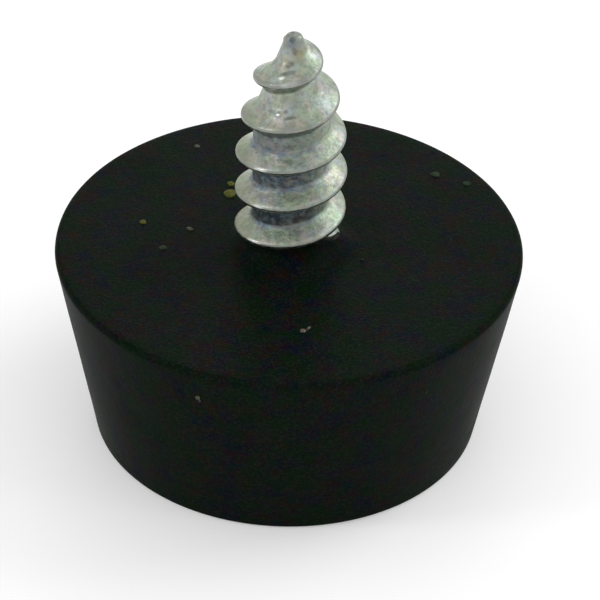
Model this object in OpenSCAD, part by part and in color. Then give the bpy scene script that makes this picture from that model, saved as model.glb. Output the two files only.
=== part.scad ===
// Rubber foot with a moulded-in screw.
// The foot stands on its narrow face, centred on the origin. The screw points up along +Z
// and turns into the underside of the furniture until the wide face seats against it.

/* [Rubber body] */
// Diameter of the wide mounting face, measured to the sharp corner
top_d = 25.4; // [22:0.1:40]
// Diameter of the narrow floor face, measured to the sharp corner
bottom_d = 21.1; // [16:0.1:36]
// Height from the floor face to the mounting face
height = 11.2; // [10:0.1:25]
// Radius of the edge around the mounting face
top_edge_r = 0.4; // [0.1:0.05:1]
// Radius of the edge around the floor face
bottom_edge_r = 0.2; // [0.1:0.05:1]
// Clearance around the thread in the shallow recess that lets the mounting face seat flat
recess_gap = 0.5; // [0.3:0.1:2]
// Depth of that recess
recess_depth = 0.15; // [0.1:0.05:0.5]

/* [Screw] */
// Length of the screw above the mounting face
reach = 13.3; // [11:0.1:20]
// Diameter over the thread crests
thread_d = 6; // [5:0.1:6.6]
// Diameter of the core between the turns
core_d = 4.1; // [3.6:0.1:4.6]
// Rise of one turn
pitch = 2.35; // [2:0.05:3]
// Angle between each flank and a plane square to the axis
flank_angle = 30; // [25:1:34]
// Width of the flat along each crest
crest_w = 0.24; // [0.2:0.02:0.5]
// Height of the first whole turn above the mounting face, on the +X side
first_turn = 2.4; // [2.1:0.05:2.7]
// Length over which the crests curve in towards the nose
crest_taper = 8.2; // [6:0.1:9]
// Length over which the core narrows to the nose
core_taper = 4.8; // [4:0.1:8]
// Diameter of the blunt nose
nose_d = 0.8; // [0.7:0.05:1.6]
// Radius around the nose
nose_r = 0.35; // [0.2:0.05:0.4]

/* [Buried end] */
// Diameter of the head inside the rubber
head_d = 9; // [7:0.1:14]
// Thickness of the head
head_h = 1.6; // [1:0.1:3]
// Rubber between the head and the floor face
head_z = 3.2; // [2:0.1:4]
// Radius of the head's upper and lower edges
head_edge_r = 0.4; // [0.1:0.05:0.45]
// Radius of the corner where the head meets the core
neck_r = 0.5; // [0.1:0.05:0.8]
// Bond line between the rubber and the steel
bond = 0.02; // [0.01:0.01:0.05]

/* [Hidden] */
$fn = 96;
corner_steps = 8;   // straight lengths in each rounded corner of an outline
turn_steps = 36;    // sections in one turn of the thread
turns_below = 2;    // whole turns from the thread's buried start to the first whole turn
over = 0.03;        // how far the crests stand proud before they are trimmed to thread_d
inner_share = 0.9;  // the thread's inner edge, as a share of the core's radius
faded_share = 0.95; // the crest where the thread has faded out, as a share of the core's radius

head_top = head_z + head_h;
tip_z = height + reach;
nose_z = tip_z - nose_r;            // where the crests have curved in to the axis
crest_taper_z = tip_z - crest_taper;
core_taper_z = tip_z - core_taper;
thread_start_z = height + first_turn - turns_below * pitch;
full_thread_z = height + pitch / 4; // where the thread has grown to its full depth
thread_sections = floor((nose_z - thread_start_z) / pitch * turn_steps);
groove_sections = ceil((height + pitch - thread_start_z) / pitch * turn_steps);

function unit(v) = v / norm(v);

// The points of an arc of radius r that rounds corner b between its neighbours a and c.
function corner(a, b, c, r) =
    let (
        u = unit(a - b),
        v = unit(c - b),
        half = acos(u * v) / 2,
        centre = b + unit(u + v) * r / sin(half),
        from = b + u * r / tan(half) - centre,
        to = b + v * r / tan(half) - centre,
        start = atan2(from.y, from.x),
        sweep = (atan2(to.y, to.x) - start + 540) % 360 - 180
    )
    [for (k = [0:corner_steps])
        centre + r * [cos(start + sweep * k / corner_steps), sin(start + sweep * k / corner_steps)]];

// An outline whose corners are [x, z, radius], with each radius above 0 turned into an arc.
function rounded(corners) =
    let (n = len(corners), flat = [for (p = corners) [p.x, p.y]])
    [for (i = [0:n - 1])
        each corners[i].z > 0
            ? corner(flat[(i + n - 1) % n], flat[i], flat[(i + 1) % n], corners[i].z)
            : [flat[i]]];

// Radius of the core at height z, which narrows as a cone towards the nose.
function core_r(z) =
    core_d / 2 - (core_d - nose_d) / 2 * min(max((z - core_taper_z) / core_taper, 0), 1);

// Radius that the crests reach at height z: full up to the taper, then a quarter ellipse.
function crest_r(z) =
    let (share = max(z - crest_taper_z, 0) / (nose_z - crest_taper_z))
    (thread_d / 2 + over) / cos(180 / turn_steps) * sqrt(max(1 - share ^ 2, 0));

// Share of its full depth that the thread has at height z, growing from its buried start.
function grown(z) = min((z - thread_start_z) / (full_thread_z - thread_start_z), 1);

// One section across the thread whose crest is at height z, as four [radius, z] points.
function thread_section(z, grow) =
    let (
        inner = core_r(z) * inner_share,
        faded = core_r(z) * faded_share,
        crest = max(faded + (crest_r(z) - faded) * grown(z), faded) + grow,
        half_w = crest_w / 2 + grow,
        base_w = half_w + (crest - inner) * tan(flank_angle)
    )
    [[inner, z - base_w], [crest, z - half_w], [crest, z + half_w], [inner, z + base_w]];

// The thread as a right-hand ribbon of sections, its inner edge buried in the core.
module thread(sections, grow = 0) {
    ribbon = [for (i = [0:sections])
        for (p = thread_section(thread_start_z + pitch * i / turn_steps, grow))
            let (angle = 360 * i / turn_steps)
            [p[0] * cos(angle), p[0] * sin(angle), p[1]]];
    sides = [for (i = [0:sections - 1], k = [0:3])
        let (a = 4 * i + k, b = 4 * i + (k + 1) % 4)
        each [[a, b, a + 4], [b, b + 4, a + 4]]];
    last = 4 * sections;
    ends = [[0, 2, 1], [0, 3, 2], [last, last + 1, last + 2], [last, last + 2, last + 3]];
    polyhedron(points = ribbon, faces = concat(sides, ends));
}

module rubber_body() {
    color("#1d1e1d") difference() {
        rotate_extrude()
            polygon(rounded([
                [0, 0, 0],
                [bottom_d / 2, 0, bottom_edge_r],
                [top_d / 2, height, top_edge_r],
                [0, height, 0]
            ]));
        translate([0, 0, height - recess_depth])
            cylinder(d = thread_d + 2 * recess_gap, h = recess_depth + 1);
        // the space that the head and the core fill
        rotate_extrude()
            polygon(rounded([
                [0, head_z - bond, 0],
                [head_d / 2 + bond, head_z - bond, head_edge_r],
                [head_d / 2 + bond, head_top + bond, head_edge_r],
                [core_d / 2 + bond, head_top + bond, neck_r],
                [core_d / 2 + bond, height + 1, 0],
                [0, height + 1, 0]
            ]));
        // the groove that the buried turns fill
        thread(groove_sections, bond);
    }
}

module screw() {
    color("#b9bdb9") union() {
        rotate_extrude()
            polygon(rounded([
                [0, head_z, 0],
                [head_d / 2, head_z, head_edge_r],
                [head_d / 2, head_top, head_edge_r],
                [core_d / 2, head_top, neck_r],
                [core_d / 2, core_taper_z, 0],
                [nose_d / 2, tip_z, nose_r],
                [0, tip_z, 0]
            ]));
        intersection() {
            thread(thread_sections);
            translate([0, 0, head_top]) cylinder(d = thread_d, h = tip_z - head_top);
        }
    }
}

rubber_body();
screw();
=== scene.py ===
import math
import random

import bpy
from mathutils import Matrix, Vector, noise


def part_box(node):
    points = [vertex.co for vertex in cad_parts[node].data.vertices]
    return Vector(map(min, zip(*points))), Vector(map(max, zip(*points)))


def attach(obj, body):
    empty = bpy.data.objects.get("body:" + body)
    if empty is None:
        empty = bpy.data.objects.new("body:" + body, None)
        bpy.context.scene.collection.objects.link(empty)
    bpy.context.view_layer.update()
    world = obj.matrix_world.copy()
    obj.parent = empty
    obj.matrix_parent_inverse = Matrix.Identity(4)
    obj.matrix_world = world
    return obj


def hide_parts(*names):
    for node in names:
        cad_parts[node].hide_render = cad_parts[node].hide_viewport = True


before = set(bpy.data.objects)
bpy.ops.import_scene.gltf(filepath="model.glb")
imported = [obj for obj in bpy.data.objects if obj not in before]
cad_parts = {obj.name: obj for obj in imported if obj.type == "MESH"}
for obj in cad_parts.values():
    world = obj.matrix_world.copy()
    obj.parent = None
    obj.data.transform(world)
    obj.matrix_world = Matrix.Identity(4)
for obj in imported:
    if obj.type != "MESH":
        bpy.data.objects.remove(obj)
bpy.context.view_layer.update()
scene = bpy.context.scene
mm = 0.001  # sizes below are in millimetres, angles in degrees and turns in whole turns

rubberLow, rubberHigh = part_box("rubber_body")
screwLow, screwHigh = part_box("screw")
faceZ = rubberHigh.z / mm
headZ = screwLow.z / mm
tipZ = screwHigh.z / mm


# Shader helpers

def newMaterial(name):
    material = bpy.data.materials.new(name)
    material.use_nodes = True
    nodes = material.node_tree.nodes
    nodes.clear()
    output = nodes.new("ShaderNodeOutputMaterial")
    shader = nodes.new("ShaderNodeBsdfPrincipled")
    material.node_tree.links.new(shader.outputs["BSDF"], output.inputs["Surface"])
    return material, shader


def newGroup(name, inputs, outputs):
    tree = bpy.data.node_groups.new(name, "ShaderNodeTree")
    for socketName, kind, default in inputs:
        socket = tree.interface.new_socket(socketName, in_out="INPUT", socket_type=kind)
        if default is not None:
            socket.default_value = default
    for socketName, kind in outputs:
        tree.interface.new_socket(socketName, in_out="OUTPUT", socket_type=kind)
    return tree, tree.nodes.new("NodeGroupInput"), tree.nodes.new("NodeGroupOutput")


def addNode(tree, kind, values=None, **settings):
    node = tree.nodes.new(kind)
    for key, value in settings.items():
        setattr(node, key, value)
    for key, value in (values or {}).items():
        node.inputs[key].default_value = value
    return node


# A value taken from the range start to end into the range low to high, and held at its ends
def addRamp(tree, value, start, end, low=0.0, high=1.0, smooth=False):
    node = addNode(tree, "ShaderNodeMapRange", {
        "From Min": start, "From Max": end, "To Min": low, "To Max": high},
        interpolation_type="SMOOTHSTEP" if smooth else "LINEAR")
    tree.links.new(value, node.inputs["Value"])
    return node.outputs["Result"]


def mathNode(tree, operation, first, second=None, third=None, clamp=False):
    node = addNode(tree, "ShaderNodeMath", operation=operation, use_clamp=clamp)
    for index, value in enumerate((first, second, third)):
        if isinstance(value, bpy.types.NodeSocket):
            tree.links.new(value, node.inputs[index])
        elif value is not None:
            node.inputs[index].default_value = value
    return node.outputs[0]


def product(tree, first, *others):
    for other in others:
        first = mathNode(tree, "MULTIPLY", first, other)
    return first


def mixColours(tree, factor, first, second):
    node = addNode(tree, "ShaderNodeMix", data_type="RGBA")
    for index, value in ((0, factor), (6, first), (7, second)):
        if isinstance(value, bpy.types.NodeSocket):
            tree.links.new(value, node.inputs[index])
        else:
            node.inputs[index].default_value = value
    return node.outputs[2]


def colour(red, green, blue):
    return (red, green, blue, 1.0)


# Mask of cloudy patches: it rises where the noise goes from From to To
def makePatchGroup():
    tree, source, result = newGroup(
        "softPatches",
        [("Position", "NodeSocketVector", None), ("Per millimetre", "NodeSocketFloat", 1.0),
         ("From", "NodeSocketFloat", 0.4), ("To", "NodeSocketFloat", 0.6)],
        [("Mask", "NodeSocketFloat")])
    scaled = addNode(tree, "ShaderNodeVectorMath", operation="SCALE")
    cloud = addNode(tree, "ShaderNodeTexNoise", {"Scale": 1 / mm, "Detail": 3.0, "Roughness": 0.6})
    ramp = addNode(tree, "ShaderNodeMapRange", interpolation_type="SMOOTHSTEP")
    tree.links.new(source.outputs["Position"], scaled.inputs[0])
    tree.links.new(source.outputs["Per millimetre"], scaled.inputs["Scale"])
    tree.links.new(scaled.outputs[0], cloud.inputs["Vector"])
    tree.links.new(cloud.outputs["Fac"], ramp.inputs["Value"])
    tree.links.new(source.outputs["From"], ramp.inputs["From Min"])
    tree.links.new(source.outputs["To"], ramp.inputs["From Max"])
    tree.links.new(ramp.outputs["Result"], result.inputs["Mask"])
    return tree


# Height of a fine grain: a coarse and a fine noise added together, in millimetres
def makeGrainGroup():
    tree, source, result = newGroup(
        "surfaceGrain",
        [("Position", "NodeSocketVector", None), ("Coarse", "NodeSocketFloat", 0.004),
         ("Fine", "NodeSocketFloat", 0.002)],
        [("Height", "NodeSocketFloat")])
    coarse = addNode(tree, "ShaderNodeTexNoise", {"Scale": 2.5 / mm, "Detail": 2.0})
    fine = addNode(tree, "ShaderNodeTexNoise", {"Scale": 11 / mm, "Detail": 1.0})
    tree.links.new(source.outputs["Position"], coarse.inputs["Vector"])
    tree.links.new(source.outputs["Position"], fine.inputs["Vector"])
    low = mathNode(tree, "MULTIPLY", coarse.outputs["Fac"], source.outputs["Coarse"])
    total = mathNode(tree, "MULTIPLY_ADD", fine.outputs["Fac"], source.outputs["Fine"], low)
    tree.links.new(total, result.inputs["Height"])
    return tree


patchGroup = makePatchGroup()
grainGroup = makeGrainGroup()


# Patches that start at one level of the noise and are full at another; a shift moves them along,
# so that two sets don't coincide
def addPatches(tree, position, perMillimetre, start, end, shift=0.0):
    node = addNode(tree, "ShaderNodeGroup", {
        "Per millimetre": perMillimetre, "From": start, "To": end}, node_tree=patchGroup)
    if shift:
        aside = (shift * mm, shift * 0.7 * mm, 0)
        moved = addNode(tree, "ShaderNodeVectorMath", {1: aside}, operation="ADD")
        tree.links.new(position, moved.inputs[0])
        position = moved.outputs[0]
    tree.links.new(position, node.inputs["Position"])
    return node.outputs["Mask"]


# Faint clouds of colour laid over a tone
def addTints(tree, position, tone, tints, start=0.44, end=0.62):
    for tint, perMillimetre, strength, shift in tints:
        cloud = addPatches(tree, position, perMillimetre, start, end, shift)
        tone = mixColours(tree, product(tree, cloud, strength), tone, tint)
    return tone


def separated(tree, position):
    node = addNode(tree, "ShaderNodeSeparateXYZ")
    tree.links.new(position, node.inputs[0])
    return node.outputs


# Grain with the heights of its coarse and of its fine part
def addGrain(tree, position, shader, heights):
    coarse, fine = heights
    grain = addNode(tree, "ShaderNodeGroup", {"Coarse": coarse, "Fine": fine}, node_tree=grainGroup)
    bump = addNode(tree, "ShaderNodeBump", {"Strength": 1.0, "Distance": mm})
    tree.links.new(position, grain.inputs["Position"])
    tree.links.new(grain.outputs["Height"], bump.inputs["Height"])
    tree.links.new(bump.outputs["Normal"], shader.inputs["Normal"])


# Camera

cameraSettings = {
    "elevation": 36.3,
    "roll": 1.5,
    "distance": 203.2,
    "lens": 223.36,
    "aim": (0.66, 0.0, 7.38),  # point that lies in the middle of the view
}


def addCamera(settings):
    elevation = math.radians(settings["elevation"])
    roll = math.radians(settings["roll"])
    back = Vector((0, -math.cos(elevation), math.sin(elevation)))
    right = Vector((1, 0, 0))
    up = back.cross(right)
    turnedRight = right * math.cos(roll) + up * math.sin(roll)
    turnedUp = up * math.cos(roll) - right * math.sin(roll)
    axes = Matrix((turnedRight, turnedUp, back)).transposed().to_4x4()
    place = (Vector(settings["aim"]) + back * settings["distance"]) * mm
    data = bpy.data.cameras.new("view")
    data.lens = settings["lens"]
    data.sensor_width = 36.0
    data.clip_start = 0.001
    data.clip_end = 20.0
    camera = bpy.data.objects.new("view", data)
    camera.matrix_world = Matrix.Translation(place) @ axes
    scene.collection.objects.link(camera)
    scene.camera = camera
    print("camera placed")


# Studio: a pale floor, an even sky and soft lamps

studioSettings = {
    "floorSize": 4000.0,
    "floorGap": 0.02,      # so that the floor and the foot's underside don't share a plane
    "floorColour": colour(0.8, 0.8, 0.8),
    "floorRoughness": 0.9,
    "floorLift": 0.24,     # light that the floor seems to give off, where 1 is white
    "sky": 0.85,
    # name, direction as azimuth and elevation, distance, width, watts
    "lamps": (
        ("key", 0.0, 11.0, 420.0, 220.0, 0.28),
        ("side", 64.0, 39.0, 400.0, 240.0, 0.38),
        ("leftSpark", -108.0, 38.0, 350.0, 60.0, 0.13),
        ("rightSpark", 112.0, 34.0, 350.0, 60.0, 0.05),
    ),
}


def paperMaterial(settings):
    material, shader = newMaterial("floorPaper")
    tree = material.node_tree
    shader.inputs["Base Color"].default_value = settings["floorColour"]
    shader.inputs["Roughness"].default_value = settings["floorRoughness"]
    shader.inputs["Specular IOR Level"].default_value = 0.0
    # what the eye and the metal see of the floor is lifted a little towards white, and its shadow stays
    path = addNode(tree, "ShaderNodeLightPath")
    seen = mathNode(tree, "ADD", path.outputs["Is Camera Ray"], path.outputs["Is Glossy Ray"])
    seen = mathNode(tree, "ADD", seen, path.outputs["Is Transmission Ray"], clamp=True)
    shader.inputs["Emission Color"].default_value = colour(1, 1, 1)
    tree.links.new(product(tree, seen, settings["floorLift"]), shader.inputs["Emission Strength"])
    # from below, the floor is clear
    mix = addNode(tree, "ShaderNodeMixShader")
    tree.links.new(addNode(tree, "ShaderNodeNewGeometry").outputs["Backfacing"], mix.inputs[0])
    tree.links.new(shader.outputs["BSDF"], mix.inputs[1])
    tree.links.new(addNode(tree, "ShaderNodeBsdfTransparent").outputs["BSDF"], mix.inputs[2])
    tree.links.new(mix.outputs[0], tree.nodes["Material Output"].inputs["Surface"])
    return material


def addFloor(settings):
    half = settings["floorSize"] / 2 * mm
    low = -settings["floorGap"] * mm
    corners = [(-half, -half, low), (half, -half, low), (half, half, low), (-half, half, low)]
    mesh = bpy.data.meshes.new("floor")
    mesh.from_pydata(corners, [], [(0, 1, 2, 3)])
    mesh.materials.append(paperMaterial(settings))
    floor = bpy.data.objects.new("floor", mesh)
    scene.collection.objects.link(floor)


def addSky(settings):
    world = bpy.data.worlds.new("studio")
    world.use_nodes = True
    world.node_tree.nodes["Background"].inputs["Color"].default_value = colour(1, 1, 1)
    world.node_tree.nodes["Background"].inputs["Strength"].default_value = settings["sky"]
    scene.world = world


def addLamps(settings):
    for name, azimuth, elevation, distance, width, power in settings["lamps"]:
        a, e = math.radians(azimuth), math.radians(elevation)
        direction = Vector((math.sin(a) * math.cos(e), math.cos(a) * math.cos(e), math.sin(e)))
        data = bpy.data.lights.new(name, "AREA")
        data.shape = "DISK"
        data.size = width * mm
        data.energy = power
        lamp = bpy.data.objects.new(name, data)
        lamp.location = (direction * distance + Vector((0, 0, faceZ))) * mm
        lamp.rotation_euler = direction.to_track_quat("Z", "Y").to_euler()
        scene.collection.objects.link(lamp)


def addStudio(settings):
    addFloor(settings)
    addSky(settings)
    addLamps(settings)
    scene.view_settings.view_transform = "Standard"
    print("studio lit")


# Meshes turned about the upright axis

# Points of an arc of the given radius that rounds corner b between its neighbours a and c
def roundedCorner(a, b, c, radius, steps=8):
    a, b, c = Vector(a), Vector(b), Vector(c)
    u = (a - b).normalized()
    v = (c - b).normalized()
    half = u.angle(v) / 2
    centre = b + (u + v).normalized() * (radius / math.sin(half))
    first = b + u * (radius / math.tan(half)) - centre
    last = b + v * (radius / math.tan(half)) - centre
    return [centre + first.slerp(last, k / steps).normalized() * radius for k in range(steps + 1)]


# Points from a up to, but not including, b, no further apart than step
def spaced(a, b, step):
    count = max(1, math.ceil((Vector(b) - Vector(a)).length / step))
    return [Vector(a).lerp(Vector(b), k / count) for k in range(count)]


def polar(radius, turn, z):
    angle = 2 * math.pi * turn
    return Vector((radius * math.cos(angle), radius * math.sin(angle), z))


# One ring for each point of an outline, where radiusAt gives the radius at an angle in turns
def turnedRings(outline, columns, radiusAt):
    rings = []
    for radius, z in outline:
        turns = [j / columns for j in range(columns)]
        rings.append([polar(radiusAt(radius, turn, z), turn, z) for turn in turns])
    return rings


# A closed mesh of rings of points in millimetres; without poles, its last ring meets its first
def ringMesh(name, rings, poles=None):
    columns, count = len(rings[0]), len(rings)
    points = [p * mm for ring in rings for p in ring]
    faces = []
    for i in range(count - 1 if poles else count):
        low, high = i * columns, (i + 1) % count * columns
        for j in range(columns):
            k = (j + 1) % columns
            faces.append((low + j, low + k, high + k, high + j))
    if poles:
        first, last = len(points), (count - 1) * columns
        points += [Vector(pole) * mm for pole in poles]
        for j in range(columns):
            k = (j + 1) % columns
            faces.append((first, k, j))
            faces.append((first + 1, last + j, last + k))
    mesh = bpy.data.meshes.new(name)
    mesh.from_pydata(points, [], faces)
    mesh.polygons.foreach_set("use_smooth", [True] * len(mesh.polygons))
    mesh.update()
    piece = bpy.data.objects.new(name, mesh)
    scene.collection.objects.link(piece)
    return piece


# Screw: one closed mesh whose radius is worked out at each angle and height

screwSizes = {
    "threadDiameter": 6.0,
    "coreDiameter": 4.1,
    "pitch": 2.35,
    "flankAngle": 30.0,
    "crestWidth": 0.24,    # flat that the flanks would leave if the crest weren't rounded
    "firstTurn": 2.4,      # first whole turn above the rubber, on the +X side
    "turnsBelow": 2,
    "crestTaper": 8.2,
    "coreTaper": 4.8,
    "noseDiameter": 0.8,
    "noseRadius": 0.35,
    "headDiameter": 9.0,
    "headThickness": 1.6,
    "headEdgeRadius": 0.4,
    "neckRadius": 0.5,
    "rootFillet": (0.28, 0.75),  # between the lower turns and below the nose
    # depths below the tip where the fillet starts to widen, is wide, starts to narrow and is narrow
    "wideFillet": (6.5, 3.5, 1.8, 0.6),
    "waviness": 0.03,      # how much the rolled crest wanders
    "waveScale": (1.6, 1.28),  # of its noise, round the thread and upwards
    # small lumps: turn, depth below the tip, half length, half width and how far they stand out
    "burrs": ((0.688, 3.87, 0.20, 0.12, 0.13), (0.688, 1.82, 0.38, 0.13, 0.07)),
    "columns": 176,
    "innerRing": 0.4,      # radius of the first ring round the pole
    "threadStep": 0.05,    # spacing of the rings on the thread, on the neck and on the head
    "neckStep": 0.16,
    "headTopStep": 0.6,
    "headBottomStep": 0.8,
}


def smoothMax(a, b, blend):
    share = max(blend - abs(a - b), 0) / blend
    return max(a, b) + share * share * blend / 4


def coreRadius(sizes, z):
    share = min(max((z - tipZ + sizes["coreTaper"]) / sizes["coreTaper"], 0), 1)
    return sizes["coreDiameter"] / 2 - (sizes["coreDiameter"] - sizes["noseDiameter"]) / 2 * share


def crestRadius(sizes, z):
    start = tipZ - sizes["crestTaper"]
    share = max(z - start, 0) / (tipZ - sizes["noseRadius"] - start)
    return sizes["threadDiameter"] / 2 * math.sqrt(max(1 - share * share, 0))


# Radius of the threaded surface at an angle in turns and a height, around a core of the given radius
def threadSurface(sizes, turn, z, core):
    pitch = sizes["pitch"]
    startZ = faceZ + sizes["firstTurn"] - sizes["turnsBelow"] * pitch
    offset = (z - startZ - turn * pitch + pitch / 2) % pitch - pitch / 2
    crestZ = z - offset
    if crestZ < startZ or crestZ > tipZ - sizes["noseRadius"]:
        return core
    wide, high = sizes["waveScale"]
    place = polar(wide, turn, crestZ * high)
    grown = min((crestZ - startZ) / (faceZ + pitch / 4 - startZ), 1)
    crest = core + (crestRadius(sizes, crestZ) - core) * grown
    crest -= sizes["waviness"] * (0.5 + 0.5 * noise.noise(place)) * grown
    slope = 1 / math.tan(math.radians(sizes["flankAngle"]))
    lean = math.atan(slope)
    roundness = sizes["crestWidth"] / 2 / math.tan(lean / 2)
    across = abs(offset)
    if across < roundness * math.sin(lean):
        outline = crest - roundness + math.sqrt(roundness * roundness - across * across)
    else:
        outline = crest - (across - sizes["crestWidth"] / 2) * slope
    depth = tipZ - z
    start, wide, narrowing, narrow = sizes["wideFillet"]
    share = min(max((start - depth) / (start - wide), 0), max((depth - narrow) / (narrowing - narrow), 0), 1)
    low, high = sizes["rootFillet"]
    return smoothMax(core, outline, low + (high - low) * share)


# How far the small burrs lift the surface
def burrHeight(sizes, turn, z, radius):
    lift = 0
    for burrTurn, depth, halfLength, halfWidth, height in sizes["burrs"]:
        around = (turn - burrTurn) * 2 * math.pi * radius / halfLength
        # a lump lies along the thread
        along = (z - tipZ + depth - (turn - burrTurn) * sizes["pitch"]) / halfWidth
        lift += height * math.exp(-around * around - along * along)
    return lift


# Radius of the whole screw, where core is the radius of its outline without the thread
def screwRadius(sizes, core, turn, z):
    if z <= headZ + sizes["headThickness"] + sizes["neckRadius"]:
        return core
    radius = threadSurface(sizes, turn, z, core)
    return radius + burrHeight(sizes, turn, z, radius)


# Point of the finished thread at an angle in turns and a height
def surfacePoint(sizes, turn, z):
    return polar(screwRadius(sizes, coreRadius(sizes, z), turn, z), turn, z)


def screwProfile(sizes):
    head, core, nose = sizes["headDiameter"] / 2, sizes["coreDiameter"] / 2, sizes["noseDiameter"] / 2
    headTop = headZ + sizes["headThickness"]
    taperZ = tipZ - sizes["coreTaper"]
    lowEdge = roundedCorner((0, headZ), (head, headZ), (head, headTop), sizes["headEdgeRadius"])
    highEdge = roundedCorner((head, headZ), (head, headTop), (0, headTop), sizes["headEdgeRadius"])
    neck = roundedCorner((head, headTop), (core, headTop), (core, tipZ), sizes["neckRadius"])
    dome = roundedCorner((core, taperZ), (nose, tipZ), (0, tipZ), sizes["noseRadius"])
    threadZ = faceZ + sizes["firstTurn"] - sizes["turnsBelow"] * sizes["pitch"] - sizes["pitch"] / 2
    profile = spaced((sizes["innerRing"], headZ), lowEdge[0], sizes["headBottomStep"]) + lowEdge + highEdge
    profile += spaced(highEdge[-1], neck[0], sizes["headTopStep"])[1:] + neck
    profile += spaced(neck[-1], (core, threadZ), sizes["neckStep"])[1:]
    profile += spaced((core, threadZ), (core, taperZ), sizes["threadStep"])
    profile += spaced((core, taperZ), dome[0], sizes["threadStep"])
    return profile + dome


def makeScrew(sizes):
    rings = turnedRings(screwProfile(sizes), sizes["columns"],
                        lambda core, turn, z: screwRadius(sizes, core, turn, z))
    screw = ringMesh("threaded_screw", rings, ((0, 0, headZ), (0, 0, tipZ)))
    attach(screw, "root")
    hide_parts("screw")
    print("screw turned")
    return screw


zincFinish = {
    "bright": colour(0.46, 0.50, 0.43),
    "dull": colour(0.28, 0.32, 0.26),
    "mottling": (0.55, 0.45),  # weight of the broad and of the small patches in the lightness
    # patches per millimetre, levels of the noise where they start and are full, and shift
    "broadPatches": (0.9, 0.36, 0.64),
    "smallPatches": (3.2, 0.36, 0.64),
    "pitPatches": (6.5, 0.50, 0.75, 55),
    "rootPatches": (1.6, 0.42, 0.60, 40),
    "raggedPatches": (2.2, 0.35, 0.65, 70),
    # colour of each cloud, patches per millimetre, strength and shift
    "tints": (
        (colour(0.46, 0.38, 0.45), 1.4, 0.45, 3),
        (colour(0.52, 0.45, 0.31), 0.9, 0.40, 10),
        (colour(0.31, 0.42, 0.46), 1.8, 0.40, 17),
        (colour(0.32, 0.44, 0.28), 0.8, 0.55, 24),
        (colour(0.18, 0.20, 0.17), 2.2, 0.45, 31),
    ),
    # painted shade: a darker tone laid over the −X side of the thread
    "sideShade": colour(0.24, 0.26, 0.16),
    "sideShadeFade": (-2.9, -1.5, 0.60),  # from this x to this one, the painted shade on the −X side fades from this share to none
    # painted shade that dims the highlight along the rounded crests
    "edge": colour(0.25, 0.27, 0.24),
    "edgeBand": (0.04, 0.11),  # depths below the crest between which the painted crest shade fades
    "edgeWear": (0.4, 0.5),  # least share of that tone, and what the broad patches add
    "pit": colour(0.20, 0.21, 0.19),
    "pitting": 0.6,        # strength of the pits' tone
    # dark bluish tone in the thread roots: a deposit, and painted shade under the crests
    "root": colour(0.092, 0.135, 0.185),
    "rootTint": colour(0.130, 0.128, 0.142),  # of its patches
    "roughness": (0.38, 0.52),
    "polish": -0.10,       # change of roughness along the crests
    "grain": (0.034, 0.010),  # height of its coarse and of its fine part
    "rootBand": 0.20,      # height above the core over which the dark deposit and painted shade fade
    "ragged": 0.11,        # how much higher it reaches in the ragged patches
    "broken": 0.4,         # share of it that the small patches take away
    # where it thins out: direction, start, end and share left; heights count from the tip
    "depositAndShadeFades": (
        ("X", 0.9, 1.6, 0.1),
        ("Y", 0.2, 1.4, 0.3),
        ("Z", -6.9, -5.2, 0.5),
        ("Z", -4.8, -3.8, 0.0),
    ),
    "markMottling": 0.4,   # share of a mark's strength that goes with the small patches
    # colour, turn, depth below the tip, half length, half width, strength and change of roughness
    "stainsAndPaintedLight": (
        (colour(0.28, 0.30, 0.27), 0.75, 0.15, 0.95, 0.95, 0.75, 0.20),
        (colour(0.20, 0.22, 0.28), 0.71, 0.32, 0.40, 0.40, 0.60, 0.05),
        (colour(0.07, 0.11, 0.125), 0.714, 0.12, 0.26, 0.24, 0.90, 0.05),
        (colour(0.30, 0.28, 0.18), 0.82, 0.90, 0.50, 0.45, 0.80, 0.05),
        (colour(0.13, 0.12, 0.075), 0.765, 0.70, 0.22, 0.30, 0.80, 0.05),
        # painted shade that dims the reflection on the very tip
        (colour(0.14, 0.145, 0.135), 0.250, 0.00, 0.72, 0.72, 0.90, 0.10),
        # painted shade over the highlight of the fillet below the nose, then a dark line along the crease
        # where the top turn's flank meets the nose cone
        (colour(0.17, 0.17, 0.15), 0.715, 1.33, 0.46, 0.30, 0.85, 0.12),
        (colour(0.13, 0.155, 0.145), 0.712, 1.65, 0.66, 0.20, 0.85, 0.05),
        # painted highlights on the top turn: on its front flank, on its right flank and on its crest
        (colour(0.85, 0.88, 0.86), 0.685, 1.83, 0.26, 0.13, 1.00, -0.10),
        (colour(0.80, 0.86, 0.80), 0.955, 1.16, 0.22, 0.26, 0.25, -0.02),
        (colour(0.85, 0.88, 0.88), 0.656, 2.42, 0.32, 0.12, 0.90, -0.06),
        # gouges and a dimple round the lower burr
        (colour(0.15, 0.16, 0.14), 0.640, 3.90, 0.26, 0.16, 0.60, 0.05),
        (colour(0.13, 0.15, 0.12), 0.740, 3.93, 0.60, 0.14, 0.80, 0.05),
        (colour(0.14, 0.15, 0.13), 0.720, 3.72, 0.18, 0.16, 0.85, 0.05),
        # painted highlight on the lower burr
        (colour(0.90, 0.92, 0.88), 0.688, 3.86, 0.18, 0.11, 1.00, -0.12),
        # painted light across the middle of the top turn, then painted shade on the core under the top
        # turn's crest
        (colour(0.62, 0.65, 0.61), 0.738, 1.96, 0.75, 0.22, 0.50, 0.00),
        (colour(0.27, 0.29, 0.26), 0.736, 3.14, 0.90, 0.35, 0.45, 0.05),
        # painted highlights: glints along the crests of the lower turns
        (colour(0.88, 0.90, 0.87), 0.655, 6.93, 0.60, 0.10, 0.75, -0.12),
        (colour(0.88, 0.90, 0.87), 0.650, 9.30, 0.60, 0.10, 0.65, -0.12),
        (colour(0.88, 0.90, 0.87), 0.635, 11.66, 0.75, 0.10, 0.80, -0.12),
    ),
}


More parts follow.
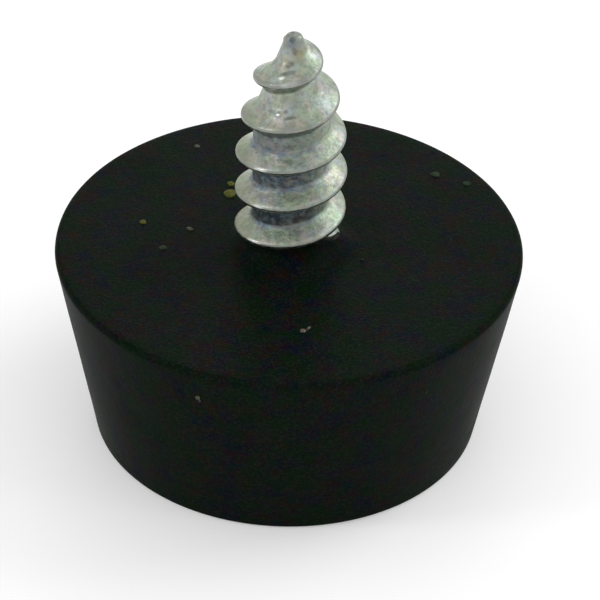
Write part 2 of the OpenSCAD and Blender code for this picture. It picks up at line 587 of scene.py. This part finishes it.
# Mask of a long spot that fades out from its centre; its long axis lies along the tangent
def makeSpotGroup():
    tree, source, result = newGroup(
        "longSpot",
        [("Position", "NodeSocketVector", None), ("Centre", "NodeSocketVector", None),
         ("Tangent", "NodeSocketVector", None), ("Shortening", "NodeSocketFloat", 0.0),
         ("Half width", "NodeSocketFloat", 0.1)],
        [("Mask", "NodeSocketFloat")])
    away = addNode(tree, "ShaderNodeVectorMath", operation="SUBTRACT")
    along = addNode(tree, "ShaderNodeVectorMath", operation="DOT_PRODUCT")
    square = addNode(tree, "ShaderNodeVectorMath", operation="DOT_PRODUCT")
    tree.links.new(source.outputs["Position"], away.inputs[0])
    tree.links.new(source.outputs["Centre"], away.inputs[1])
    tree.links.new(away.outputs[0], along.inputs[0])
    tree.links.new(source.outputs["Tangent"], along.inputs[1])
    tree.links.new(away.outputs[0], square.inputs[0])
    tree.links.new(away.outputs[0], square.inputs[1])
    stretch = product(tree, along.outputs["Value"], along.outputs["Value"], source.outputs["Shortening"])
    distance = mathNode(tree, "SQRT", mathNode(tree, "SUBTRACT", square.outputs["Value"], stretch))
    share = mathNode(tree, "DIVIDE", distance, source.outputs["Half width"])
    tree.links.new(addRamp(tree, share, 0.3, 1.0, 1.0, 0.0, smooth=True), result.inputs["Mask"])
    return tree


spotGroup = makeSpotGroup()


# A spot on the finished thread that lies along it, at an angle in turns and a depth below the tip
def addSpot(tree, position, sizes, turn, depth, halfLength, halfWidth):
    step = 0.01
    centre = surfacePoint(sizes, turn, tipZ - depth)
    ahead = surfacePoint(sizes, turn + step, tipZ - depth + step * sizes["pitch"])
    node = addNode(tree, "ShaderNodeGroup", {
        "Centre": centre * mm, "Tangent": (ahead - centre).normalized(),
        "Shortening": 1 - (halfWidth / halfLength) ** 2, "Half width": halfWidth * mm}, node_tree=spotGroup)
    tree.links.new(position, node.inputs["Position"])
    return node.outputs["Mask"]


def mottledPlating(tree, place, broad, small, finish):
    broadShare, smallShare = finish["mottling"]
    lightness = mathNode(tree, "MULTIPLY_ADD", small, smallShare, product(tree, broad, broadShare))
    plating = mixColours(tree, lightness, finish["dull"], finish["bright"])
    plating = addTints(tree, place, plating, finish["tints"])
    pits = product(tree, addPatches(tree, place, *finish["pitPatches"]), finish["pitting"])
    return mixColours(tree, pits, plating, finish["pit"])


# Share of painted shade on the crests, which also sets where they are polished; the crest's radius shrinks
# as a quarter ellipse towards the nose
def crestShadeAndPolish(tree, z, radius, broad, sizes, finish):
    start, end = finish["edgeBand"]
    least, added = finish["edgeWear"]
    upwards = addRamp(tree, z, (tipZ - sizes["crestTaper"]) * mm, (tipZ - sizes["noseRadius"]) * mm)
    inside = mathNode(tree, "MULTIPLY_ADD", upwards, product(tree, upwards, -1.0), 1.0)
    crest = product(tree, mathNode(tree, "SQRT", inside), sizes["threadDiameter"] / 2 * mm)
    below = mathNode(tree, "SUBTRACT", crest, radius)
    edge = addRamp(tree, below, start * mm, end * mm, 1.0, 0.0, smooth=True)
    return product(tree, edge, mathNode(tree, "MULTIPLY_ADD", broad, added, least))


# Share of the dark deposit and painted shade above the core, which narrows as a cone towards the nose
def rootDepositAndShade(tree, place, radius, small, sizes, finish):
    position = separated(tree, place)
    core = addRamp(tree, position["Z"], (tipZ - sizes["coreTaper"]) * mm, tipZ * mm,
                   sizes["coreDiameter"] / 2 * mm, sizes["noseDiameter"] / 2 * mm)
    ragged = addPatches(tree, place, *finish["raggedPatches"])
    above = mathNode(tree, "SUBTRACT", radius, core)
    above = mathNode(tree, "MULTIPLY_ADD", ragged, -finish["ragged"] * mm, above)
    depositAndShade = addRamp(tree, above, 0.0, finish["rootBand"] * mm, 1.0, 0.0, smooth=True)
    depositAndShade = product(tree, depositAndShade, mathNode(tree, "MULTIPLY_ADD", small, -finish["broken"], 1.0))
    for axis, start, end, left in finish["depositAndShadeFades"]:
        upright = axis == "Z"
        base = tipZ if upright else 0.0
        fade = addRamp(tree, position[axis], (base + start) * mm, (base + end) * mm, 1.0, left,
                       smooth=not upright)
        depositAndShade = product(tree, depositAndShade, fade)
    return depositAndShade


# Stains, gouges, painted highlights and painted shade laid over the plating and its roughness
def addStainsAndPaintedLight(tree, place, small, plating, roughness, sizes, finish):
    for tint, turn, depth, halfLength, halfWidth, strength, roughening in finish["stainsAndPaintedLight"]:
        varied = strength * finish["markMottling"]
        texture = mathNode(tree, "MULTIPLY_ADD", small, varied, strength - varied)
        spot = product(tree, addSpot(tree, place, sizes, turn, depth, halfLength, halfWidth), texture)
        plating = mixColours(tree, spot, plating, tint)
        roughness = mathNode(tree, "MULTIPLY_ADD", spot, roughening, roughness)
    return plating, roughness


def dressScrew(screw, sizes, finish):
    material, shader = newMaterial("zincPlating")
    tree = material.node_tree
    place = addNode(tree, "ShaderNodeTexCoord").outputs["Object"]
    x, y, z = separated(tree, place)
    radius = mathNode(tree, "SQRT", mathNode(tree, "MULTIPLY_ADD", x, x, product(tree, y, y)))
    broad = addPatches(tree, place, *finish["broadPatches"])
    small = addPatches(tree, place, *finish["smallPatches"])
    plating = mottledPlating(tree, place, broad, small, finish)
    # painted shade that darkens the −X side of the thread
    sideShadeStart, sideShadeEnd, sideShadeShare = finish["sideShadeFade"]
    sideShade = addRamp(tree, x, sideShadeStart * mm, sideShadeEnd * mm, sideShadeShare, 0.0, smooth=True)
    plating = mixColours(tree, sideShade, plating, finish["sideShade"])
    # painted shade along the crest rounding; the same mask polishes the crests
    crestShadeAndPolishMask = crestShadeAndPolish(tree, z, radius, broad, sizes, finish)
    plating = mixColours(tree, crestShadeAndPolishMask, plating, finish["edge"])
    # dark deposit and painted shade in the roots of the thread
    blotches = addPatches(tree, place, *finish["rootPatches"])
    depositAndShadeTone = mixColours(tree, blotches, finish["root"], finish["rootTint"])
    depositAndShade = rootDepositAndShade(tree, place, radius, small, sizes, finish)
    plating = mixColours(tree, depositAndShade, plating, depositAndShadeTone)
    roughness = addRamp(tree, small, 0.0, 1.0, *finish["roughness"])
    roughness = mathNode(tree, "MULTIPLY_ADD", crestShadeAndPolishMask, finish["polish"], roughness)
    plating, roughness = addStainsAndPaintedLight(tree, place, small, plating, roughness, sizes, finish)
    tree.links.new(plating, shader.inputs["Base Color"])
    tree.links.new(roughness, shader.inputs["Roughness"])
    shader.inputs["Metallic"].default_value = 1.0
    addGrain(tree, place, shader, finish["grain"])
    screw.data.materials.append(material)


# Rubber body: the outside, the shallow recess and the space for the screw in one closed mesh

rubberSizes = {
    "topDiameter": 25.4,
    "bottomDiameter": 21.1,
    "topEdgeRadius": 0.3,
    "bottomEdgeRadius": 0.2,
    "recessGap": 0.5,
    "recessDepth": 0.15,
    "recessSlope": 0.3,    # width of the slope that leads down into the recess
    "recessEdgeRadius": 0.12,
    "bond": 0.02,          # gap between the rubber and the steel
    "ripple": 0.02,        # unevenness of the moulded side
    "rippleScale": (3, 0.35),  # of its noise, round the side and upwards
    "evenEdges": (0.5, 0.1),  # heights without ripple beside the floor face and the wide face
    "columns": 240,
    "innerRing": 0.5,      # radius of the first ring round the pole
    "floorStep": 0.9,      # spacing of the rings on the floor face and on the rest of the outside
    "outerStep": 0.35,
}


def outerProfile(sizes, screw):
    top, bottom = sizes["topDiameter"] / 2, sizes["bottomDiameter"] / 2
    recess = screw["threadDiameter"] / 2 + sizes["recessGap"]
    foot = Vector((recess - sizes["recessSlope"], faceZ - sizes["recessDepth"]))
    lowEdge = roundedCorner((0, 0), (bottom, 0), (top, faceZ), sizes["bottomEdgeRadius"])
    highEdge = roundedCorner((bottom, 0), (top, faceZ), (0, faceZ), sizes["topEdgeRadius"])
    lip = roundedCorner((top, faceZ), (recess, faceZ), foot, sizes["recessEdgeRadius"], steps=4)
    profile = spaced((sizes["innerRing"], 0), lowEdge[0], sizes["floorStep"]) + lowEdge
    profile += spaced(lowEdge[-1], highEdge[0], sizes["outerStep"])[1:] + highEdge
    profile += spaced(highEdge[-1], lip[0], sizes["outerStep"])[1:] + lip
    return profile + [foot]


# Outline of the threaded bore, and then of the space for the neck and the head
def innerProfiles(sizes, screw):
    bond = sizes["bond"]
    low, high = headZ - bond, headZ + screw["headThickness"] + bond
    head, core = screw["headDiameter"] / 2 + bond, screw["coreDiameter"] / 2 + bond
    neck = roundedCorner((core, faceZ), (core, high), (head, high), screw["neckRadius"])
    highHead = roundedCorner((core, high), (head, high), (head, low), screw["headEdgeRadius"])
    lowHead = roundedCorner((head, high), (head, low), (0, low), screw["headEdgeRadius"])
    bore = spaced((core, faceZ - sizes["recessDepth"]), neck[0], screw["threadStep"])
    space = neck + spaced(neck[-1], highHead[0], screw["headTopStep"])[1:] + highHead + lowHead
    space += spaced(lowHead[-1], (screw["innerRing"], low), screw["headBottomStep"])[1:]
    return bore, space


def rippledRadius(sizes, radius, turn, z):
    low, high = sizes["evenEdges"]
    if not low < z < faceZ - high:
        return radius
    wide, upright = sizes["rippleScale"]
    return radius + sizes["ripple"] * noise.noise(polar(wide, turn, z * upright))


def makeRubberBody(sizes, screw):
    bond, core, columns = sizes["bond"], screw["coreDiameter"] / 2, sizes["columns"]
    bore, space = innerProfiles(sizes, screw)
    rings = turnedRings(outerProfile(sizes, screw), columns,
                        lambda radius, turn, z: rippledRadius(sizes, radius, turn, z))
    rings += turnedRings(bore, columns, lambda radius, turn, z: threadSurface(screw, turn, z, core) + bond)
    rings += turnedRings(space, columns, lambda radius, turn, z: radius)
    body = ringMesh("tapered_rubber_body", rings, ((0, 0, 0), (0, 0, headZ - bond)))
    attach(body, "root")
    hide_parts("rubber_body")
    print("rubber moulded")
    return body


# Skin of rubber that rises round the foot of the screw, over the recess
collarSizes = {
    "curve": 1.2,          # radius in which it rises against the screw
    "lip": 0.2,            # thickness at the top
    "rim": 0.05,           # height of the straight rim above the curve
    "skirt": 0.35,         # width of the thin edge that lies on the wide face
    "thickness": 0.01,     # of that edge
    "dip": 0.02,           # how far its end dips into the face
    "underlap": 0.2,       # how far the underside stays inside the foot of the curve
    "apart": 0.005,        # small step that keeps two surfaces apart
    "unevenness": (0.06, 0.08),  # of its width and of its height
    "unevenScale": (2.2, 2.6),  # of the noise for each of them
    "notch": (0.06, 0.12, 0.30),  # where the thread comes through: turn, half width in turns and height left
    "bulge": (-0.01, 0.05, 0.20),  # where it runs over the thread: turn, half width in turns and width added
}


# How near a turn is to a centre, from 1 down to 0
def nearness(turn, centre, halfWidth):
    away = (turn - centre + 0.5) % 1 - 0.5
    return math.exp(-(away / halfWidth) ** 2)


# A rise that is cut down to a height, but for a faint slope
def levelled(rise, height):
    return rise if rise < height else height + (rise - height) * 0.02


# How much wider the collar is at an angle in turns, and how high it rises there
def collarShape(sizes, turn):
    across = polar(1, turn, 0)
    unevenWidth, unevenHeight = sizes["unevenness"]
    widthScale, heightScale = sizes["unevenScale"]
    elsewhere = Vector((7, 0, 0))
    notchTurn, notchWidth, notchHeight = sizes["notch"]
    bulgeTurn, bulgeWidth, bulge = sizes["bulge"]
    swell = unevenWidth * noise.noise(across * widthScale) + bulge * nearness(turn, bulgeTurn, bulgeWidth)
    height = sizes["curve"] - unevenHeight * (0.5 + noise.noise(across * heightScale + elsewhere))
    height += (notchHeight - height) * nearness(turn, notchTurn, notchWidth)
    return swell, height


def makeCollar(sizes, rubber, screw):
    curve, skirt, apart, core = sizes["curve"], sizes["skirt"], sizes["apart"], screw["coreDiameter"] / 2
    baseZ = faceZ + sizes["thickness"]
    rimZ = baseZ + curve + sizes["rim"]
    floorZ = faceZ - rubber["recessDepth"]
    top = core + sizes["lip"]
    foot = top + curve
    outside = [Vector((foot + skirt, faceZ - sizes["dip"])), Vector((foot + skirt / 2, baseZ - apart))]
    outside += roundedCorner((foot + 1, baseZ), (top, baseZ), (top, rimZ), curve, steps=16)
    outside.append(Vector((top, rimZ)))
    wall = spaced((0, rimZ), (0, floorZ), screw["threadStep"])
    underside = (foot - sizes["underlap"], floorZ + apart - baseZ)
    rings = [[] for point in outside + wall + [underside]]
    for j in range(rubber["columns"]):
        turn = j / rubber["columns"]
        swell, height = collarShape(sizes, turn)
        places = [(point.x + swell, levelled(point.y - baseZ, height)) for point in outside]
        for point in wall:
            rise = levelled(point.y - baseZ, height)
            radius = threadSurface(screw, turn, baseZ + rise, core) + rubber["bond"]
            arc = min(max(rise, 0), curve)
            # where the thread comes through the skin, the rubber ends inside the steel
            places.append((min(radius, foot + swell - math.sqrt(arc * (2 * curve - arc))), rise))
        places.append(underside)
        for ring, (radius, rise) in zip(rings, places):
            ring.append(polar(radius, turn, baseZ + rise))
    collar = ringMesh("rubber_collar", rings)
    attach(collar, "root")
    print("collar drawn round the screw")
    return collar


rubberFinish = {
    "black": colour(0.0043, 0.0075, 0.0043),
    # colour of each cloud, patches per millimetre, strength and shift
    "tints": (
        (colour(0.0000, 0.0020, 0.0110), 0.80, 0.7, 5),
        (colour(0.0120, 0.0035, 0.0000), 0.95, 0.6, 14),
        (colour(0.0080, 0.0005, 0.0090), 1.50, 0.5, 23),
        (colour(0.0000, 0.0065, 0.0055), 1.80, 0.5, 32),
        (colour(0.0006, 0.0085, 0.0008), 0.55, 0.7, 41),
    ),
    # patches per millimetre, and levels of the noise where they start and are full
    "bloomPatches": (0.25, 0.45, 0.75),
    "gritPatches": (6.5, 0.42, 0.70),
    "speckPatches": (3.5, 0.66, 0.72),
    # colour of the dust, also used for the painted light on the side
    "dustAndSideLight": colour(0.022, 0.026, 0.022),
    "speckDust": (0.3, 0.4),  # least share of dust in a speck, and what the broad bloom adds
    "grit": 0.28,          # share of dust in the fine grit
    "sideLightShare": 0.03,      # share of painted light, in the dust's colour, that the side has on top of the face's
    "sideStart": (0.2, 0.02),  # depths below the wide face between which that share comes in
    "sheen": colour(0.70, 1.0, 0.72),
    "roughness": (0.42, 0.52),
    "specular": 0.0125,
    "grain": (0.012, 0.018),
}


def dressRubber(pieces, finish):
    material, shader = newMaterial("blackRubber")
    tree = material.node_tree
    place = addNode(tree, "ShaderNodeTexCoord").outputs["Object"]
    tone = addTints(tree, place, finish["black"], finish["tints"])
    bloom = addPatches(tree, place, *finish["bloomPatches"])
    grit = addPatches(tree, place, *finish["gritPatches"])
    specks = addPatches(tree, place, *finish["speckPatches"])
    least, added = finish["speckDust"]
    dustAndSideLight = product(tree, specks, mathNode(tree, "MULTIPLY_ADD", bloom, added, least))
    dustAndSideLight = mathNode(tree, "MAXIMUM", dustAndSideLight, product(tree, grit, finish["grit"]))
    # painted light: the side is painted a little lighter than the wide face, in the dust's colour
    full, none = finish["sideStart"]
    z = separated(tree, place)["Z"]
    sideLight = addRamp(tree, z, (faceZ - full) * mm, (faceZ - none) * mm, finish["sideLightShare"], 0.0)
    dustAndSideLight = mathNode(tree, "ADD", dustAndSideLight, sideLight)
    tree.links.new(mixColours(tree, dustAndSideLight, tone, finish["dustAndSideLight"]), shader.inputs["Base Color"])
    tree.links.new(addRamp(tree, bloom, 0.0, 1.0, *finish["roughness"]), shader.inputs["Roughness"])
    shader.inputs["Specular IOR Level"].default_value = finish["specular"]
    shader.inputs["Specular Tint"].default_value = finish["sheen"]
    addGrain(tree, place, shader, finish["grain"])
    for piece in pieces:
        piece.data.materials.append(material)


# Stray chips and flecks that lie on the rubber

straySpecks = {
    # colour, x, y, length, width, angle
    "faceChips": (
        ("yellow", -7.96, 1.55, 0.40, 0.36, 10),
        ("yellow", -3.30, 5.43, 0.46, 0.44, 20),
        ("yellow", -3.33, 4.50, 0.74, 0.82, 5),
        ("pale", -5.40, 1.02, 0.42, 0.27, 150),
        ("pink", 0.86, -7.93, 0.36, 0.30, 20),
        ("pink", 1.16, -7.70, 0.34, 0.16, 60),
        ("pale", -5.33, 9.05, 0.32, 0.34, 40),
        ("green", -6.78, -0.80, 0.42, 0.44, 100),
        ("green", 7.97, 6.85, 0.52, 0.52, 10),
        ("green", 9.72, 6.04, 0.46, 0.42, 160),
        ("green", 3.93, -1.43, 0.22, 0.10, 30),
    ),
    # colour, angle round from the front, height, length, width, angle of the chip
    "sideChips": (
        ("pale", -21.3, 9.38, 0.32, 0.26, 70),
        ("pale", -20.9, 9.20, 0.16, 0.12, 20),
        ("green", 37.0, 8.82, 0.20, 0.14, 30),
    ),
    "yellow": colour(0.098, 0.104, 0.020),
    "pale": colour(0.085, 0.098, 0.068),
    "pink": colour(0.142, 0.126, 0.096),
    "green": colour(0.026, 0.044, 0.024),
    "shade": 0.5,          # how dark each colour gets between its patches
    "shadePatches": (7.0, 0.35, 0.65),
    "roughness": 0.8,
    "specular": 0.1,
    "grain": (0.02, 0.01),
    "thickness": 0.07,
    "gap": 0.002,          # between a chip and the wide face
    "lumpiness": 0.35,     # how far the lumps push the outline in and out, as a share
    "levels": 5,
    "columns": 18,
    "seed": 5,
}


# A low lumpy flake with a domed top and a flat underside
def flakeMesh(name, settings, length, width, height, seed):
    rings = []
    for level in range(settings["levels"]):
        lift = level / (settings["levels"] - 1)
        spread = math.cos(lift * math.pi / 2 * 0.85) / 2  # some of the width is left at the top
        ring = []
        for j in range(settings["columns"]):
            around = polar(1, j / settings["columns"], 0)
            # each chip takes its lumps from another place in the noise
            bump = noise.noise((around + Vector((0, 0, seed * 3.7 + lift))) * 1.4)
            across = around * spread * (1 + settings["lumpiness"] * bump)
            ring.append(Vector((length * across.x, width * across.y, height * math.sin(lift * math.pi / 2))))
        rings.append(ring)
    return ringMesh(name, rings, ((0, 0, 0), (0, 0, height)))


def spun(angle):
    return Matrix.Rotation(math.radians(angle), 4, "Z")


def facePlace(x, y, gap):
    return Matrix.Translation(Vector((x, y, faceZ + gap)) * mm)


# Place on the tapered side at an angle round from the front and a height, facing outwards
def sidePlace(rubber, angle, z):
    top, bottom = rubber["topDiameter"] / 2, rubber["bottomDiameter"] / 2
    lean = math.atan2(top - bottom, faceZ)
    a = math.radians(angle)
    across = Vector((math.sin(a), -math.cos(a), 0))
    outward = across * math.cos(lean) + Vector((0, 0, -math.sin(lean)))
    place = across * (bottom + (top - bottom) * z / faceZ) + Vector((0, 0, z))
    return Matrix.Translation(place * mm) @ outward.to_track_quat("Z", "Y").to_matrix().to_4x4()


def speckMaterial(name, settings):
    material, shader = newMaterial(name + "Speck")
    tree = material.node_tree
    place = addNode(tree, "ShaderNodeTexCoord").outputs["Object"]
    base = settings[name]
    darker = colour(*(settings["shade"] * channel for channel in base[:3]))
    tone = mixColours(tree, addPatches(tree, place, *settings["shadePatches"]), darker, base)
    tree.links.new(tone, shader.inputs["Base Color"])
    shader.inputs["Roughness"].default_value = settings["roughness"]
    shader.inputs["Specular IOR Level"].default_value = settings["specular"]
    addGrain(tree, place, shader, settings["grain"])
    return material


def addSpecks(settings, rubber):
    random.seed(settings["seed"])
    materials = {name: speckMaterial(name, settings) for name in ("yellow", "pale", "pink", "green")}
    chips = [(name, length, width, facePlace(x, y, settings["gap"]) @ spun(angle))
             for name, x, y, length, width, angle in settings["faceChips"]]
    chips += [(name, length, width, sidePlace(rubber, around, z) @ spun(angle))
              for name, around, z, length, width, angle in settings["sideChips"]]
    for index, (name, length, width, place) in enumerate(chips):
        height = settings["thickness"] * random.uniform(0.8, 1.2)
        chip = flakeMesh(f"{name}_speck_{index + 1}", settings, length, width, height, index)
        chip.data.materials.append(materials[name])
        chip.matrix_world = place
        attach(chip, "root")
    print("specks scattered")


addCamera(cameraSettings)
addStudio(studioSettings)
dressScrew(makeScrew(screwSizes), screwSizes, zincFinish)
body = makeRubberBody(rubberSizes, screwSizes)
collar = makeCollar(collarSizes, rubberSizes, screwSizes)
dressRubber([body, collar], rubberFinish)
addSpecks(straySpecks, rubberSizes)
